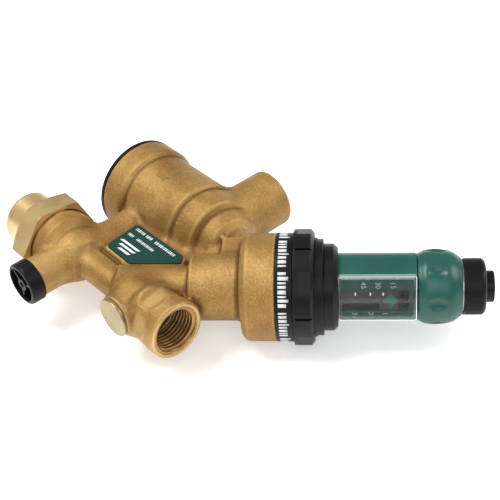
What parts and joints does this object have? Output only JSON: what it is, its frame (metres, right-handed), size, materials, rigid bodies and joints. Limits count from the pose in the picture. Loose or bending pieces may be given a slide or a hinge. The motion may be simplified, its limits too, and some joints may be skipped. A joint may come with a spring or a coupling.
{
  "type": "water pressure regulator",
  "caption": "Cast bronze feed-water regulator with an inlet union, strainer cap, backflow barrel with vent, outlet port, and a scaled spring housing with a turning knob.",
  "frame": {"origin": "on the outlet port's axis, where its pipe thread starts, 1.5 mm inside the mouth", "axes": "+X out of the outlet port along the pipe run, +Y out of the vent port, +Z out of the side with the label; the regulator's spring housing points half way between +X and +Y"},
  "size_m": [0.1869, 0.1446, 0.0486],
  "materials": {
    "cast_bronze": "rough sand casting, golden brown",
    "bright_brass": "machined, pale and satin",
    "stainless": "satin",
    "spring_steel": "drawn wire",
    "rubber": "matte",
    "gasket_fibre": "matte",
    "black_plastic": "fine grain",
    "grey_plastic": "moulded",
    "white_plastic": "moulded",
    "green_plastic": "dark green, moulded",
    "pointer_green": "green",
    "label_green": "dark green printed plate",
    "label_black": "printed band",
    "clear_plastic": "clear moulded window"
  },
  "bodies": {
    "body": {"valve_body": "cast_bronze", "label_plate": "label_green", "side_plug": "bright_brass", "side_plug_o_ring": "rubber", "barrel_cover": "black_plastic", "barrel_cover_o_ring": "rubber", "cartridge_sleeve": "grey_plastic", "vent_seat": "grey_plastic", "vent_seat_o_ring": "rubber", "second_check_guide": "white_plastic", "second_check_spring": "spring_steel", "vent_return_spring": "spring_steel", "seat_cartridge": "white_plastic", "cartridge_o_rings": "rubber", "cartridge_retainer": "bright_brass", "diaphragm": "rubber", "range_spring": "spring_steel", "label_band": "label_black", "ring_nut": "black_plastic", "bonnet": "black_plastic", "spring_housing": "green_plastic", "window_lens": "clear_plastic"},
    "tailpiece": {"union_tailpiece": "bright_brass", "union_gasket": "gasket_fibre"},
    "nut": {"union_nut": "bright_brass"},
    "strainer": {"strainer_screen": "stainless", "strainer_o_ring": "rubber"},
    "cap": {"strainer_cap": "black_plastic"},
    "knob": {"adjusting_knob": "green_plastic", "adjusting_spindle": "black_plastic", "spindle_cap": "black_plastic"},
    "carrier": {"spring_carrier": "black_plastic", "pressure_pointer": "pointer_green"},
    "washer": {"lock_washer": "stainless"},
    "lock": {"lock_ring": "black_plastic"},
    "piston": {"vent_piston": "white_plastic", "vent_piston_o_ring": "rubber", "first_check_guide": "white_plastic", "first_check_spring": "spring_steel"},
    "first_check": {"first_check_poppet": "grey_plastic", "first_check_seal": "rubber"},
    "second_check": {"second_check_poppet": "grey_plastic", "second_check_seal": "rubber"},
    "stem": {"regulator_stem": "bright_brass", "stem_o_ring": "rubber", "seat_disc": "rubber", "seat_disc_nut": "bright_brass", "lower_diaphragm_plate": "bright_brass", "upper_diaphragm_plate": "stainless", "diaphragm_nut": "stainless"}
  },
  "joints": [
    {"name": "union_draw", "type": "slide", "parent": "body", "child": "tailpiece", "axis": [-1, 0, 0], "range_m": [0, 0.006]},
    {"name": "union_nut_turn", "type": "hinge", "parent": "tailpiece", "child": "nut", "pos_m": [-0.0866, 0, 0], "axis": [-1, 0, 0], "range_deg": [0, 1440]},
    {"name": "strainer_draw", "type": "slide", "parent": "body", "child": "strainer", "axis": [0, -1, 0], "range_m": [0, 0.006]},
    {"name": "strainer_cap_turn", "type": "hinge", "parent": "strainer", "child": "cap", "pos_m": [-0.0688, -0.025, 0], "axis": [0, -1, 0], "range_deg": [0, 1440]},
    {"name": "knob_turn", "type": "hinge", "parent": "body", "child": "knob", "pos_m": [0.05108, 0.08768, 0], "axis": [0.7071, 0.7071, 0], "range_deg": [-2160, 360]},
    {"name": "carrier_travel", "type": "slide", "parent": "body", "child": "carrier", "axis": [0.7071, 0.7071, 0], "range_m": [-0.015, 0.0025], "deforming": ["range_spring"]},
    {"name": "lock_washer_travel", "type": "slide", "parent": "knob", "child": "washer", "axis": [0.7071, 0.7071, 0], "range_m": [0, 0.001]},
    {"name": "lock_ring_turn", "type": "hinge", "parent": "washer", "child": "lock", "pos_m": [0.06735, 0.10394, 0], "axis": [0.7071, 0.7071, 0], "range_deg": [0, 360]},
    {"name": "vent_piston_travel", "type": "slide", "parent": "body", "child": "piston", "axis": [1, 0, 0], "range_m": [0, 0.0025], "stiffness_N_per_m": 150, "springref_m": -0.006, "deforming": ["vent_return_spring"]},
    {"name": "first_check_travel", "type": "slide", "parent": "piston", "child": "first_check", "axis": [1, 0, 0], "range_m": [0, 0.003], "stiffness_N_per_m": 60, "springref_m": -0.004, "deforming": ["first_check_spring"]},
    {"name": "second_check_travel", "type": "slide", "parent": "body", "child": "second_check", "axis": [1, 0, 0], "range_m": [0, 0.003], "stiffness_N_per_m": 40, "springref_m": -0.004, "deforming": ["second_check_spring"]},
    {"name": "stem_travel", "type": "slide", "parent": "body", "child": "stem", "axis": [0.7071, 0.7071, 0], "range_m": [0, 0.0018], "stiffness_N_per_m": 800, "springref_m": -0.005, "deforming": ["diaphragm"]}
  ],
  "couplings": [
    {"joint": "union_nut_turn", "follows": "union_draw", "rad_per_m": 4188.8},
    {"joint": "strainer_cap_turn", "follows": "strainer_draw", "rad_per_m": 4188.8},
    {"joint": "knob_turn", "follows": "carrier_travel", "rad_per_m": 2513.3},
    {"joint": "lock_ring_turn", "follows": "lock_washer_travel", "rad_per_m": 6283.2}
  ]
}
